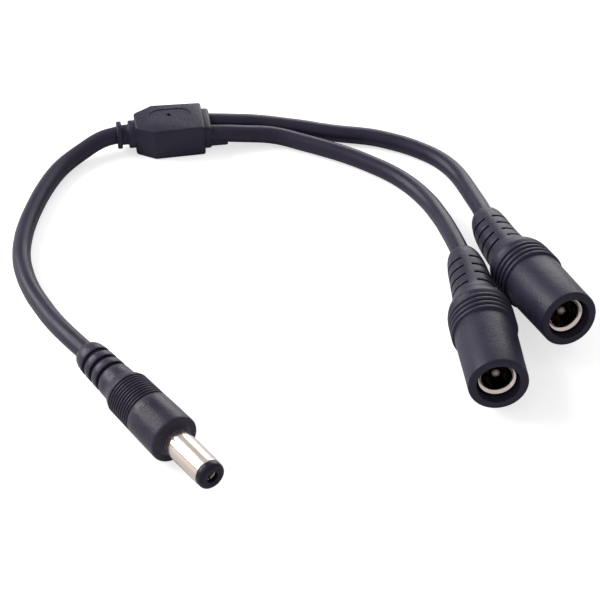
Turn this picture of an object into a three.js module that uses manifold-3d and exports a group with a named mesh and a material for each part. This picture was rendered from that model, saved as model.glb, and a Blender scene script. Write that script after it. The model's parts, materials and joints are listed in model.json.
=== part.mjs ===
// DC power cord splitter: one coaxial plug, a trunk cord, a moulded junction,
// two branch cords and two coaxial sockets.
// Millimetres, +Z up. The origin lies on the table under the middle of the junction,
// and +X runs through the junction from the trunk cord to the branch cords.

import * as THREE from 'three';
import { mergeVertices } from 'three/addons/utils/BufferGeometryUtils.js';
import Module from 'manifold-3d';

const wasm = await Module();
wasm.setup();

// Fits
const SEAT = 0.25; // between two pieces that seat on each other
const SNUG = 0.12; // around a metal sleeve in its moulding
const CORD_FACE = 0.3; // between a cord's end and the moulding that holds it

// Cable, the same for the trunk and both branches
const CABLE_D = 3.8;
const CORE_D = 1.2;
const FAN_LEAD = 1; // straight run of a core before it turns to its joint
const FAN_SPREAD = 3.2; // length over which the cores part
const FAN_SETTLE = 1.6;
const LANE_SHIFT = 3;
const CORE_PITCH = 1.5; // between the centres of the two cores
const CABLE_BORE_D = CABLE_D + 2 * SEAT;

// Coaxial plug, stations measured back from the tip
const BARREL_D = 5.5;
const BARREL_WALL = 0.35;
const SHANK = 12; // bare length in front of the grip
const CONTACT_BORE_D = 2.1;
const CONTACT_WALL = 0.35;
const CONTACT_SET_BACK = 1.1;
const TIP_RING = 1.55;
const TIP_ROUND = 0.5;
const TIP_HOLE_D = 2.35;
const LEAF_SLIT = 0.3;
const LEAF_LENGTH = 5;
const FRONT_WALL = 1.2; // moulding in front of the barrel's flange
const FLANGE_D = 6.9;
const FLANGE_LENGTH = 1.2;
const BARREL_TAIL = 1.3; // barrel behind its flange
const WASHER_LENGTH = 0.8;
const CONTACT_TAIL = 2;
const SOLDER_TAIL_D = 1.6;

// Plug moulding
const GRIP_FRONT_D = 9.6;
const GRIP_REAR_D = 9.1;
const GRIP_LENGTH = 15.6; // from the front face to the rear shoulder
const GRIP_ROUND = 0.35;
const FINE_RIBS = 10;
const FINE_RIB_PITCH = 0.68;
const FINE_RIB_DEPTH = 0.2;
const PLUG_SHOULDER = 2.9;
const PLUG_NECK_D = 7.1;
const PLUG_TAIL_D = 6.3;
const PLUG_TAIL = 11.8; // from the shoulder's foot to the rear end
const GROOVES = 3;
const GROOVE_WIDTH = 0.95;
const GROOVE_PITCH = 2.6;
const GROOVE_FLOOR_D = 5.2;
const GROOVE_FROM_END = 4.1; // rear end to the middle of the last groove

// Coaxial socket, stations measured back from the front face
const BORE_PLAY = 0.2; // the socket's bore over the plug's barrel
const SLEEVE_WALL = 0.7;
const SLEEVE_SET_BACK = 1.7;
const SLEEVE_LENGTH = 13;
const SLEEVE_CHAMFER = 0.6;
const COUNTERBORE_GAP = 0.55;
const COUNTERBORE_DEPTH = 4;
const PIN_D = 2;
const PIN_SET_BACK = 2.95;
const BASE_LENGTH = 3.5; // insulating base inside the sleeve
const BASE_FLANGE = 0.8;

// Socket moulding
const FACE_D = 11.4;
const BODY_REAR_D = 11.9;
const BODY_LENGTH = 15.2;
const FACE_ROUND = 0.4;
const RIB_D = 12.8;
const RIB_VALLEY_D = 12.1;
const RIBS = 4;
const RIB_PITCH = 1.35;
const SOCKET_SHOULDER = 5.6;
const SOCKET_NECK_D = 9;
const SOCKET_TAIL_D = 7.4;
const SOCKET_TAIL = 15.6;
const SLOT_ROWS = 4;
const SLOT_PITCH = 2.9;
const SLOT_WIDTH = 0.45;
const SLOT_FROM_END = 5.9; // rear end to the middle of the last row
const SLOT_FLOOR_D = 5.8;
const SPINE_ANGLE = 23; // plain strip along the top and the bottom, in degrees

// Solder tags and joints
const TAG_THICKNESS = 0.4;
const TAG_WIDTH = 1.6;
const TAG_LENGTH = 4.5;
const JOINT_LENGTH = 2.3;
const JOINT_D = 1.5;

// Inside of a connector's moulding
const CAVITY_WALL = 0.8;
const CAVITY_REACH = 1; // behind the joints, before it narrows to the cable
const FUNNEL = 4.5;

// Junction
const BODY_HEIGHT = 7.2;
const BODY_INPUT_W = 5.8;
const BODY_SHOULDER_W = 11;
const BODY_OUTPUT_W = 10.2;
const BODY_TAPER = 4.1;
const BODY_STRAIGHT = 11;
const BODY_EDGE = 0.45;
const INPUT_COLLAR_D = 6.1;
const INPUT_COLLAR = 1.4;
const INPUT_NECK_D = 5.2;
const INPUT_NECK = 1.4;
const INPUT_RING_D = 6;
const INPUT_RING = 1.1;
const OUTPUT_COLLAR = 1.6;
const OUTPUT_COLLAR_INSET = 0.9;
const CRADLE = 3.5;
const CRADLE_INSET = 1.2;
const BRANCH_PITCH = 4.6; // between the two branch cords where they leave
const RECESS_LENGTH = 9;
const RECESS_WIDTH = 5;
const RECESS_DEPTH = 0.3;
const RECESS_ASIDE = 0.9;
const GATE_D = 0.9;
const GATE_DEPTH = 0.9;
const SPLICE_D = 1.5;
const SPLICE_LENGTH = 5;
const SPLICE_PITCH = 1.9;
const POCKET_WALL = 1.7;

// Sections round an axis
const MOULD_SIDES = 24;
const METAL_SIDES = 20;
const WIRE_SIDES = 8;

// Cord routes, from the junction to the connector's rear end
const TRUNK_ROUTE = [
  [-12.35, 0, 3.6], [-14.7, -0.5, 3.4], [-17, -1.5, 3], [-19.4, -3.1, 2.5], [-22, -5.2, 2.1],
  [-24.2, -7.6, 1.95], [-26, -10.3, 1.92], [-28.7, -15.8, 1.92], [-30.8, -21.3, 1.92],
  [-32.5, -26.7, 1.92], [-33.7, -32.1, 1.92], [-34.3, -38.8, 1.95], [-33.9, -44, 2.1],
  [-32.6, -50.5, 2.4], [-30.9, -56, 2.9], [-29, -61.5, 3.6], [-26.6, -67.1, 4.4],
  [-23.31, -73.19, 4.8],
];
const FRONT_ROUTE = [
  [8.95, -2.3, 3.6], [11.7, -2.5, 3.5], [14.4, -2.6, 3.2], [17, -2.5, 2.8], [19.7, -2.5, 2.45],
  [22.3, -2.9, 2.15], [24.8, -4, 2], [27.2, -5.5, 1.92], [32.1, -8.8, 1.92],
  [36.8, -12.3, 1.92], [42.2, -17.3, 1.92], [45.4, -20.9, 1.92], [47.6, -24.2, 1.95],
  [49.2, -27.4, 2.05], [50.4, -30.6, 2.2], [51.3, -33.9, 2.5], [51.9, -37.6, 2.95],
  [52.4, -41.8, 3.6], [52.65, -46, 4.3], [52.85, -50.3, 5], [52.98, -54.9, 5.6],
];
const REAR_ROUTE = [
  [8.95, 2.3, 3.6], [11.5, 2, 3.5], [14.5, 1.9, 3.2], [17.6, 1.9, 2.8], [21.5, 1.5, 2.3],
  [25.4, 0.5, 2], [29.3, -0.9, 1.92], [33, -2.6, 1.92], [36.8, -4.1, 1.92], [40.2, -5.2, 1.92],
  [43.9, -6.6, 1.92], [47.4, -8.6, 1.92], [50.4, -10.7, 1.92], [53.1, -13.1, 1.92],
  [56, -16.4, 1.92], [57.9, -19.8, 1.95], [59, -23, 2.05], [59.7, -26.3, 2.2], [60.1, -29.7, 2.55],
  [60.4, -33.2, 3.05], [60.65, -36.8, 3.7], [60.8, -41.6, 4.6],
];

// How each connector lies at its cord's end, in degrees
const PLUG_POSE = { heading: -61.9, pitch: 0, roll: 0, bend: 0, aside: 0, lift: 0 };
const FRONT_POSE = { heading: -93.5, pitch: 3, roll: 10, bend: 5, aside: -0.56, lift: 0.6 };
const REAR_POSE = { heading: -78.3, pitch: 8, roll: 15, bend: 13.5, aside: 0.92, lift: 0.38 };

// Materials

const blackPvc = new THREE.MeshStandardMaterial({ color: 0x2b2930, roughness: 0.55, metalness: 0 });
const cordPvc = new THREE.MeshStandardMaterial({ color: 0x2f2d34, roughness: 0.5, metalness: 0 });
const blackPlastic = new THREE.MeshStandardMaterial({ color: 0x1c1b20, roughness: 0.4, metalness: 0 });
const nickel = new THREE.MeshStandardMaterial({ color: 0xd8cfc8, roughness: 0.22, metalness: 1 });
const brass = new THREE.MeshStandardMaterial({ color: 0xc9a85a, roughness: 0.35, metalness: 1 });
const solder = new THREE.MeshStandardMaterial({ color: 0xb4b6b8, roughness: 0.4, metalness: 1 });
const redPvc = new THREE.MeshStandardMaterial({ color: 0xa8201c, roughness: 0.5, metalness: 0 });

// Geometry helpers

// Merges shared vertices, drops empty triangles and turns the faces outwards.
function closed(geometry) {
  const bare = geometry.clone();
  bare.deleteAttribute('normal');
  bare.deleteAttribute('uv');
  const merged = mergeVertices(bare, 1e-4);
  const points = merged.getAttribute('position');
  const corner = (i) => new THREE.Vector3().fromBufferAttribute(points, i);
  const faces = [];
  let volume = 0;
  for (let i = 0; i < merged.index.count; i += 3) {
    const [a, b, c] = [0, 1, 2].map((k) => merged.index.getX(i + k));
    if (a === b || b === c || a === c) continue;
    faces.push([a, b, c]);
    volume += corner(a).dot(corner(b).cross(corner(c)));
  }
  if (volume < 0) faces.forEach((face) => face.reverse());
  merged.setIndex(faces.flat());
  return merged;
}

function toSolid(geometry) {
  const mesh = closed(geometry);
  return new wasm.Manifold(new wasm.Mesh({
    numProp: 3,
    vertProperties: new Float32Array(mesh.getAttribute('position').array),
    triVerts: new Uint32Array(mesh.index.array),
  }));
}

function fromSolid(solid) {
  const mesh = solid.getMesh();
  const geometry = new THREE.BufferGeometry();
  geometry.setAttribute('position', new THREE.BufferAttribute(new Float32Array(mesh.vertProperties), 3));
  geometry.setIndex(Array.from(mesh.triVerts));
  return geometry;
}

const joined = (...parts) => parts.map(toSolid).reduce((sum, part) => sum.add(part));
const cut = (solid, ...tools) => tools.map(toSolid).reduce((left, tool) => left.subtract(tool), solid);

// Turns a closed outline of [station, radius] points round the X axis.
function turned(outline, sides) {
  const points = [...outline, outline[0]].map(([x, r]) => new THREE.Vector2(r, x));
  return closed(new THREE.LatheGeometry(points, sides).rotateZ(-Math.PI / 2));
}

function ring(from, to, inner, outer, sides = METAL_SIDES) {
  return turned([[from, inner], [from, outer], [to, outer], [to, inner]], sides);
}

function rod(from, to, radius, sides = METAL_SIDES) {
  return closed(new THREE.CylinderGeometry(radius, radius, Math.abs(to - from), sides)
    .rotateZ(Math.PI / 2).translate((from + to) / 2, 0, 0));
}

function box(size, centre) {
  return new THREE.BoxGeometry(...size).translate(...centre);
}

function quarter(centreX, centreR, radius, from, to, steps = 3) {
  return Array.from({ length: steps + 1 }, (_, i) => {
    const angle = THREE.MathUtils.degToRad(from + ((to - from) * i) / steps);
    return [centreX + radius * Math.cos(angle), centreR + radius * Math.sin(angle)];
  });
}

function circleShape(radius, sides) {
  return new THREE.Shape(Array.from({ length: sides }, (_, i) => {
    const angle = (2 * Math.PI * (i + 0.5)) / sides;
    return new THREE.Vector2(radius * Math.cos(angle), radius * Math.sin(angle));
  }));
}

function tube(points, diameter, stepLength) {
  const path = new THREE.CatmullRomCurve3(points.map((p) => new THREE.Vector3(...p)), false, 'centripetal');
  const steps = Math.max(1, Math.round(path.getLength() / stepLength));
  return closed(new THREE.ExtrudeGeometry(circleShape(diameter / 2, WIRE_SIDES), {
    steps,
    extrudePath: path,
  }));
}

// A rounded rectangle across X, pushed along X.
function roundedBar(from, to, width, height, corner, centreZ) {
  const [w, h] = [width / 2, height / 2];
  const shape = new THREE.Shape();
  shape.moveTo(-w + corner, -h);
  shape.lineTo(w - corner, -h);
  shape.quadraticCurveTo(w, -h, w, -h + corner);
  shape.lineTo(w, h - corner);
  shape.quadraticCurveTo(w, h, w - corner, h);
  shape.lineTo(-w + corner, h);
  shape.quadraticCurveTo(-w, h, -w, h - corner);
  shape.lineTo(-w, -h + corner);
  shape.quadraticCurveTo(-w, -h, -w + corner, -h);
  return new THREE.ExtrudeGeometry(shape, { depth: to - from, bevelEnabled: false, curveSegments: 3 })
    .rotateX(Math.PI / 2).rotateZ(Math.PI / 2).translate(from, 0, centreZ);
}

// Curves everything behind a station, so that a strain relief follows its cord.
function bentTail(geometry, start, length, pose) {
  const angle = THREE.MathUtils.degToRad(pose.bend);
  if (angle === 0) return geometry;
  const scale = Math.hypot(pose.aside, pose.lift);
  const [dy, dz] = [pose.aside / scale, pose.lift / scale];
  const points = geometry.getAttribute('position');
  for (let i = 0; i < points.count; i++) {
    const [x, y, z] = [points.getX(i), points.getY(i), points.getZ(i)];
    const back = start - x;
    if (back <= 0) continue;
    const turn = (angle * Math.min(back, length)) / length;
    const beyond = Math.max(back - length, 0);
    const along = (length * Math.sin(turn)) / angle + beyond * Math.cos(turn);
    const drift = (length * (1 - Math.cos(turn))) / angle + beyond * Math.sin(turn);
    const side = y * dy + z * dz;
    const shift = drift + side * (Math.cos(turn) - 1);
    points.setXYZ(i, start - along + side * Math.sin(turn), y + shift * dy, z + shift * dz);
  }
  return geometry;
}

function named(name, geometry, material) {
  const mesh = new THREE.Mesh(closed(geometry), material);
  mesh.name = name;
  return mesh;
}

// Rests a connector on the table behind its cord's last point.
function laid(group, pose, route, rearEnd) {
  const turn = new THREE.Euler(
    THREE.MathUtils.degToRad(pose.roll),
    THREE.MathUtils.degToRad(-pose.pitch),
    THREE.MathUtils.degToRad(pose.heading),
    'ZYX',
  );
  group.rotation.copy(turn);
  group.updateMatrixWorld(true);
  const lowest = new THREE.Box3().setFromObject(group, true).min.z;
  const end = new THREE.Vector3(...route.at(-1));
  const before = new THREE.Vector3(...route.at(-2));
  const seat = end.clone().add(end.clone().sub(before).setLength(CORD_FACE));
  const offset = rearEnd.clone().applyEuler(turn);
  group.position.set(seat.x - offset.x, seat.y - offset.y, -lowest);
  return group;
}

// The two cores of a cable from its cut jacket to the solder joints, and the joints.
// Both joints are centred on the stations given, the second one below the axis.
function wiring(name, rear, joints, flex) {
  const pieces = [];
  const fan = joints.positive.x - JOINT_LENGTH / 2 - SEAT - FAN_LEAD;
  const ends = [
    { pole: 'positive', material: redPvc, side: 1, joint: joints.positive },
    { pole: 'negative', material: blackPlastic, side: -1, joint: joints.negative },
  ];
  for (const { pole, material, side, joint } of ends) {
    const start = joint.x - JOINT_LENGTH / 2 - SEAT;
    const lane = (side * CORE_PITCH) / 2;
    const core = tube([
      [start, 0, joint.z],
      [fan, 0, joint.z + 0.35 * (lane - joint.z)],
      [fan - FAN_SPREAD, 0, lane],
      [fan - FAN_SPREAD - FAN_SETTLE, 0, lane],
      [(fan + rear) / 2 - LANE_SHIFT, 0, lane],
      [rear + SEAT, 0, lane],
    ], CORE_D, 2.2);
    pieces.push(named(`${name}_core_${pole}`, flex(core), material));
    const blob = new THREE.SphereGeometry(1, WIRE_SIDES, 6)
      .scale(JOINT_LENGTH / 2, JOINT_D / 2, joint.height / 2).translate(joint.x, 0, joint.z);
    pieces.push(named(`${name}_solder_${pole}`, blob, solder));
  }
  return pieces;
}

// A washer with a tail that lies along the bottom.
function solderTag(from, inner, outer, rear) {
  const washer = ring(from, from - TAG_THICKNESS, inner, outer);
  const middle = -(inner + outer) / 2;
  const tail = box([from - rear, TAG_WIDTH, TAG_THICKNESS], [(from + rear) / 2, 0, middle]);
  return fromSolid(joined(washer, tail));
}

// Coaxial plug

function plugMoulding(rear, cavityEnd) {
  const front = -SHANK;
  const shoulder = front - GRIP_LENGTH;
  const neck = shoulder - PLUG_SHOULDER;
  const ribFoot = shoulder + FINE_RIBS * FINE_RIB_PITCH;
  const rearR = GRIP_REAR_D / 2;
  const neckR = PLUG_NECK_D / 2;
  const tailR = PLUG_TAIL_D / 2;
  const barrelBore = BARREL_D / 2 + SNUG;
  const cavity = rearR - FINE_RIB_DEPTH - CAVITY_WALL;
  const outline = [
    [front, barrelBore],
    ...quarter(front - GRIP_ROUND, GRIP_FRONT_D / 2 - GRIP_ROUND, GRIP_ROUND, 0, 90, 2),
    [ribFoot, rearR],
  ];
  for (let i = 0; i < FINE_RIBS; i++) {
    const rib = ribFoot - i * FINE_RIB_PITCH;
    outline.push([rib - FINE_RIB_PITCH / 2, rearR - FINE_RIB_DEPTH], [rib - FINE_RIB_PITCH, rearR]);
  }
  outline.push(
    [shoulder - 0.3 * PLUG_SHOULDER, rearR - 0.2 * (rearR - neckR)],
    [shoulder - 0.6 * PLUG_SHOULDER, rearR - 0.7 * (rearR - neckR)],
    [neck, neckR],
  );
  for (let i = GROOVES - 1; i >= 0; i--) {
    const middle = rear + GROOVE_FROM_END + i * GROOVE_PITCH;
    const share = (neck - middle) / PLUG_TAIL;
    const skin = neckR + (tailR - neckR) * share;
    const [near, far] = [middle + GROOVE_WIDTH / 2, middle - GROOVE_WIDTH / 2];
    outline.push([near, skin], [near, GROOVE_FLOOR_D / 2], [far, GROOVE_FLOOR_D / 2], [far, skin]);
  }
  outline.push(
    [rear + 1.5, tailR],
    [rear + 0.7, tailR - 0.25],
    [rear, tailR - 0.8],
    [rear, CABLE_BORE_D / 2],
    [cavityEnd - FUNNEL, CABLE_BORE_D / 2],
    [cavityEnd, cavity],
    [front - FRONT_WALL, cavity],
    [front - FRONT_WALL, barrelBore],
  );
  return turned(outline, MOULD_SIDES);
}

function makePlug() {
  const group = new THREE.Group();
  const barrelR = BARREL_D / 2;
  const barrelBore = barrelR - BARREL_WALL;
  const contactR = CONTACT_BORE_D / 2 + CONTACT_WALL;
  const flangeFront = -SHANK - FRONT_WALL - SEAT;
  const flangeRear = flangeFront - FLANGE_LENGTH;
  const barrelEnd = flangeRear - BARREL_TAIL;
  const washerFront = barrelEnd - SEAT;
  const contactEnd = washerFront - WASHER_LENGTH - SEAT;
  const rear = -SHANK - GRIP_LENGTH - PLUG_SHOULDER - PLUG_TAIL;

  const barrel = turned([
    [-TIP_RING - SNUG, barrelBore],
    [-TIP_RING - SNUG, barrelR],
    [flangeFront, barrelR],
    [flangeFront, FLANGE_D / 2],
    [flangeRear, FLANGE_D / 2],
    [flangeRear, barrelR],
    [barrelEnd, barrelR],
    [barrelEnd, barrelBore],
  ], METAL_SIDES);

  const tip = turned([
    [0, TIP_HOLE_D / 2],
    ...quarter(-TIP_ROUND, barrelR - TIP_ROUND, TIP_ROUND, 0, 90),
    [-TIP_RING, barrelR],
    [-TIP_RING, barrelBore - SEAT / 2],
    [barrelEnd, barrelBore - SEAT / 2],
    [barrelEnd, contactR + SEAT / 2],
    [-CONTACT_SET_BACK + SEAT, contactR + SEAT / 2],
    [-CONTACT_SET_BACK + SEAT, TIP_HOLE_D / 2],
  ], METAL_SIDES);

  const contactTail = contactEnd - CONTACT_TAIL;
  const contactBlank = toSolid(turned([
    [barrelEnd, 0],
    [barrelEnd, CONTACT_BORE_D / 2],
    [-CONTACT_SET_BACK, CONTACT_BORE_D / 2],
    [-CONTACT_SET_BACK, contactR],
    [contactEnd, contactR],
    [contactEnd, SOLDER_TAIL_D / 2],
    [contactTail, SOLDER_TAIL_D / 2],
    [contactTail, 0],
  ], METAL_SIDES));
  const slitMiddle = -CONTACT_SET_BACK - LEAF_LENGTH / 2 + 0.5;
  const contact = fromSolid(cut(
    contactBlank,
    box([LEAF_LENGTH + 1, 2 * BARREL_D, LEAF_SLIT], [slitMiddle, 0, 0]),
    box([LEAF_LENGTH + 1, LEAF_SLIT, 2 * BARREL_D], [slitMiddle, 0, 0]),
  ));

  const washer = ring(washerFront, washerFront - WASHER_LENGTH, contactR + SEAT / 2, barrelR);
  const tagFront = flangeRear - SEAT;
  const tagEnd = tagFront - TAG_LENGTH;
  const tag = solderTag(tagFront, barrelR + SEAT / 2, FLANGE_D / 2, tagEnd);
  const tagTop = -(barrelR + SEAT / 2 + FLANGE_D / 2) / 2 + TAG_THICKNESS / 2;
  const joints = {
    positive: { x: contactTail - SEAT - JOINT_LENGTH / 2, z: 0, height: JOINT_D },
    negative: { x: tagEnd + JOINT_LENGTH / 2, z: tagTop + SEAT + CORE_D / 2, height: CORE_D },
  };
  const cavityEnd = joints.positive.x - JOINT_LENGTH / 2 - CAVITY_REACH;

  group.add(
    named('plug_moulding', plugMoulding(rear, cavityEnd), blackPvc),
    named('plug_barrel', barrel, nickel),
    named('plug_tip_insulator', tip, blackPlastic),
    named('plug_centre_contact', contact, brass),
    named('plug_rear_washer', washer, blackPlastic),
    named('plug_sleeve_tag', tag, brass),
    ...wiring('plug', rear, joints, (core) => core),
  );
  return laid(group, PLUG_POSE, TRUNK_ROUTE, new THREE.Vector3(rear, 0, 0));
}

// Coaxial socket

function slotTool(station, side) {
  const half = THREE.MathUtils.degToRad(SPINE_ANGLE / 2);
  const reach = SOCKET_NECK_D / 2 + 1;
  const shape = new THREE.Shape();
  shape.absarc(0, 0, reach, half, Math.PI - half, false);
  shape.absarc(0, 0, SLOT_FLOOR_D / 2, Math.PI - half, half, true);
  return new THREE.ExtrudeGeometry(shape, { depth: SLOT_WIDTH, bevelEnabled: false, curveSegments: 10 })
    .translate(0, 0, -SLOT_WIDTH / 2).rotateY(Math.PI / 2)
    .rotateX(side > 0 ? 0 : Math.PI).translate(station, 0, 0);
}

function socketMoulding(rear, cavityFront, cavityEnd) {
  const body = -BODY_LENGTH;
  const ribEnd = body - RIBS * RIB_PITCH;
  const neck = ribEnd - SOCKET_SHOULDER;
  const bore = BARREL_D / 2 + BORE_PLAY / 2 + SLEEVE_WALL;
  const [ribR, neckR, tailR] = [RIB_D / 2, SOCKET_NECK_D / 2, SOCKET_TAIL_D / 2];
  const cavity = bore + 1.5 * SEAT + 2 * TAG_THICKNESS;
  const outline = [
    [0, bore + COUNTERBORE_GAP],
    ...quarter(-FACE_ROUND, FACE_D / 2 - FACE_ROUND, FACE_ROUND, 0, 90, 2),
    [body, BODY_REAR_D / 2],
  ];
  for (let i = 0; i < RIBS; i++) {
    const rib = body - i * RIB_PITCH;
    outline.push(
      [rib - 0.12 * RIB_PITCH, RIB_VALLEY_D / 2],
      [rib - 0.38 * RIB_PITCH, ribR],
      [rib - 0.7 * RIB_PITCH, ribR],
    );
  }
  outline.push(
    [ribEnd - 0.3 * SOCKET_SHOULDER, ribR - 0.05 * (ribR - neckR)],
    [ribEnd - 0.55 * SOCKET_SHOULDER, ribR - 0.25 * (ribR - neckR)],
    [ribEnd - 0.75 * SOCKET_SHOULDER, ribR - 0.5 * (ribR - neckR)],
    [ribEnd - 0.92 * SOCKET_SHOULDER, ribR - 0.85 * (ribR - neckR)],
    [neck, neckR],
  );
  const rows = [rear + SLOT_FROM_END + (SLOT_ROWS - 0.5) * SLOT_PITCH, rear + SLOT_FROM_END];
  for (const station of [rows[0], (rows[0] + rows[1]) / 2, rows[1] - SLOT_PITCH / 2]) {
    const share = (neck - station) / SOCKET_TAIL;
    outline.push([station, neckR + (tailR - neckR) * share]);
  }
  outline.push(
    [rear + 2, tailR - 0.25],
    [rear + 1, tailR - 0.7],
    [rear, tailR - 1.4],
    [rear, CABLE_BORE_D / 2],
    [cavityEnd - FUNNEL, CABLE_BORE_D / 2],
    [cavityEnd, cavity],
    [cavityFront, cavity],
    [cavityFront, bore + SNUG],
    [-COUNTERBORE_DEPTH, bore + SNUG],
    [-COUNTERBORE_DEPTH, bore + COUNTERBORE_GAP],
  );
  const slots = [];
  for (let row = 0; row < SLOT_ROWS; row++) {
    const station = rear + SLOT_FROM_END + row * SLOT_PITCH;
    slots.push(slotTool(station, 1), slotTool(station, -1));
  }
  return fromSolid(cut(toSolid(turned(outline, MOULD_SIDES)), ...slots));
}

function makeSocket(name, pose, route) {
  const group = new THREE.Group();
  const bore = BARREL_D / 2 + BORE_PLAY / 2;
  const sleeveR = bore + SLEEVE_WALL;
  const sleeveEnd = -SLEEVE_SET_BACK - SLEEVE_LENGTH;
  const flangeEnd = sleeveEnd - SEAT - BASE_FLANGE;
  const pinR = PIN_D / 2;
  const pinEnd = flangeEnd - SEAT - CONTACT_TAIL;
  const tailStart = -BODY_LENGTH - RIBS * RIB_PITCH - SOCKET_SHOULDER;
  const rear = tailStart - SOCKET_TAIL;

  const sleeve = turned([
    [-SLEEVE_SET_BACK, bore + SLEEVE_CHAMFER],
    [-SLEEVE_SET_BACK, sleeveR],
    [sleeveEnd, sleeveR],
    [sleeveEnd, bore],
    [-SLEEVE_SET_BACK - SLEEVE_CHAMFER, bore],
  ], METAL_SIDES);

  const base = turned([
    [sleeveEnd + BASE_LENGTH, pinR + SNUG],
    [sleeveEnd + BASE_LENGTH, bore - SNUG],
    [sleeveEnd - SEAT, bore - SNUG],
    [sleeveEnd - SEAT, sleeveR - SEAT],
    [flangeEnd, sleeveR - SEAT],
    [flangeEnd, pinR + SNUG],
  ], METAL_SIDES);

  const pin = turned([
    [-PIN_SET_BACK, 0],
    ...quarter(-PIN_SET_BACK - pinR / 2, pinR / 2, pinR / 2, 0, 90, 2),
    [flangeEnd - SEAT, pinR],
    [flangeEnd - SEAT, SOLDER_TAIL_D / 2],
    [pinEnd, SOLDER_TAIL_D / 2],
    [pinEnd, 0],
  ], METAL_SIDES);

  const tagR = sleeveR + SEAT / 2;
  const tagFront = sleeveEnd + 2 * TAG_THICKNESS;
  const tagEnd = tagFront - TAG_LENGTH;
  const tag = solderTag(tagFront, tagR, tagR + 2 * TAG_THICKNESS, tagEnd);
  const tagTop = -tagR - TAG_THICKNESS / 2;
  const joints = {
    positive: { x: pinEnd - SEAT - JOINT_LENGTH / 2, z: 0, height: JOINT_D },
    negative: { x: tagEnd + JOINT_LENGTH / 2, z: tagTop + SEAT + CORE_D / 2, height: CORE_D },
  };
  const cavityEnd = joints.positive.x - JOINT_LENGTH / 2 - CAVITY_REACH;
  const flex = (core) => bentTail(core, tailStart, SOCKET_TAIL, pose);
  const moulding = flex(socketMoulding(rear, tagFront + SEAT, cavityEnd));
  const rearEnd = flex(new THREE.BufferGeometry().setFromPoints([new THREE.Vector3(rear, 0, 0)]));

  group.add(
    named(`${name}_moulding`, moulding, blackPvc),
    named(`${name}_sleeve`, sleeve, nickel),
    named(`${name}_insulating_base`, base, blackPlastic),
    named(`${name}_centre_pin`, pin, nickel),
    named(`${name}_sleeve_tag`, tag, brass),
    ...wiring(name, rear, joints, flex),
  );
  const rearPoint = new THREE.Vector3().fromBufferAttribute(rearEnd.getAttribute('position'), 0);
  return laid(group, pose, route, rearPoint);
}

// Junction

const AXIS_Z = BODY_HEIGHT / 2;
const JUNCTION_LENGTH = INPUT_RING + INPUT_NECK + INPUT_COLLAR + BODY_TAPER + BODY_STRAIGHT
  + OUTPUT_COLLAR + CRADLE;
const RING_END = -JUNCTION_LENGTH / 2;
const NECK_START = RING_END + INPUT_RING;
const COLLAR_START = NECK_START + INPUT_NECK;
const BODY_START = COLLAR_START + INPUT_COLLAR;
const BODY_KINK = BODY_START + BODY_TAPER;
const BODY_END = BODY_KINK + BODY_STRAIGHT;
const COLLAR_END = BODY_END + OUTPUT_COLLAR;
const CRADLE_END = COLLAR_END + CRADLE;
const POCKET_START = BODY_KINK - 1;
const POCKET_END = BODY_END - POCKET_WALL;

function junctionBody() {
  const inset = BODY_EDGE;
  const shape = new THREE.Shape([
    [BODY_START + inset, -BODY_INPUT_W / 2 + inset],
    [BODY_KINK, -BODY_SHOULDER_W / 2 + inset],
    [BODY_END - inset, -BODY_OUTPUT_W / 2 + inset],
    [BODY_END - inset, BODY_OUTPUT_W / 2 - inset],
    [BODY_KINK, BODY_SHOULDER_W / 2 - inset],
    [BODY_START + inset, BODY_INPUT_W / 2 - inset],
  ].map(([x, y]) => new THREE.Vector2(x, y)));
  return new THREE.ExtrudeGeometry(shape, {
    depth: BODY_HEIGHT - 2 * inset,
    bevelThickness: inset,
    bevelSize: inset,
    bevelSegments: 2,
  }).translate(0, 0, inset);
}

function raceTrack(length, width, depth) {
  const run = (length - width) / 2;
  const shape = new THREE.Shape();
  shape.absarc(run, 0, width / 2, -Math.PI / 2, Math.PI / 2, false);
  shape.absarc(-run, 0, width / 2, Math.PI / 2, (3 * Math.PI) / 2, false);
  return new THREE.ExtrudeGeometry(shape, { depth, bevelEnabled: false, curveSegments: 8 });
}

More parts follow.
